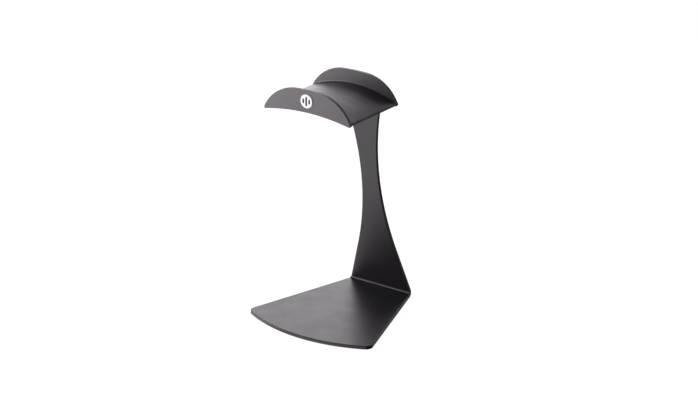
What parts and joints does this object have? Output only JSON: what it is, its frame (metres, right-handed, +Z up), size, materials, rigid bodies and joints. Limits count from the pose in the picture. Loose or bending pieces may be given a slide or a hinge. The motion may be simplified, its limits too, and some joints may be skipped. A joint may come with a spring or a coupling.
{
  "type": "headphone stand",
  "caption": "Desk stand for headphones: a bent black steel sheet with a fan-shaped base and a waisted, forward-leaning neck, carrying an arched saddle with two crescent flanges.",
  "frame": {"origin": "on the desk, under the middle of the stand's bounding box (the lowest points are the anti-slip pads' faces)", "axes": "+Z up; -Y the front, the way the neck leans and the badge looks; +X the stand's right seen from the front"},
  "size_m": [0.1584, 0.1608, 0.2721],
  "materials": {
    "powder_coated_steel": "satin black fine-grained powder coat",
    "moulded_plastic": "satin black moulded plastic with a fine grain",
    "badge_white": null,
    "zinc_steel": "zinc plated",
    "brass": "turned brass",
    "pad_rubber": "matt black cellular rubber",
    "adhesive_film": "translucent acrylic adhesive film"
  },
  "bodies": {
    "root": {"bent_steel_stand": "powder_coated_steel", "headband_saddle": "moulded_plastic", "saddle_screw_front_left": "zinc_steel", "saddle_washer_front_left": "zinc_steel", "saddle_insert_front_left": "brass", "saddle_screw_front_right": "zinc_steel", "saddle_washer_front_right": "zinc_steel", "saddle_insert_front_right": "brass", "saddle_screw_rear_left": "zinc_steel", "saddle_washer_rear_left": "zinc_steel", "saddle_insert_rear_left": "brass", "saddle_screw_rear_right": "zinc_steel", "saddle_washer_rear_right": "zinc_steel", "saddle_insert_rear_right": "brass", "anti_slip_pad_front_left": "pad_rubber", "pad_adhesive_front_left": "adhesive_film", "anti_slip_pad_front_right": "pad_rubber", "pad_adhesive_front_right": "adhesive_film", "anti_slip_pad_rear_left": "pad_rubber", "pad_adhesive_rear_left": "adhesive_film", "anti_slip_pad_rear_right": "pad_rubber", "pad_adhesive_rear_right": "adhesive_film", "badge_adhesive": "adhesive_film", "badge_disc": "badge_white"}
  },
  "joints": []
}
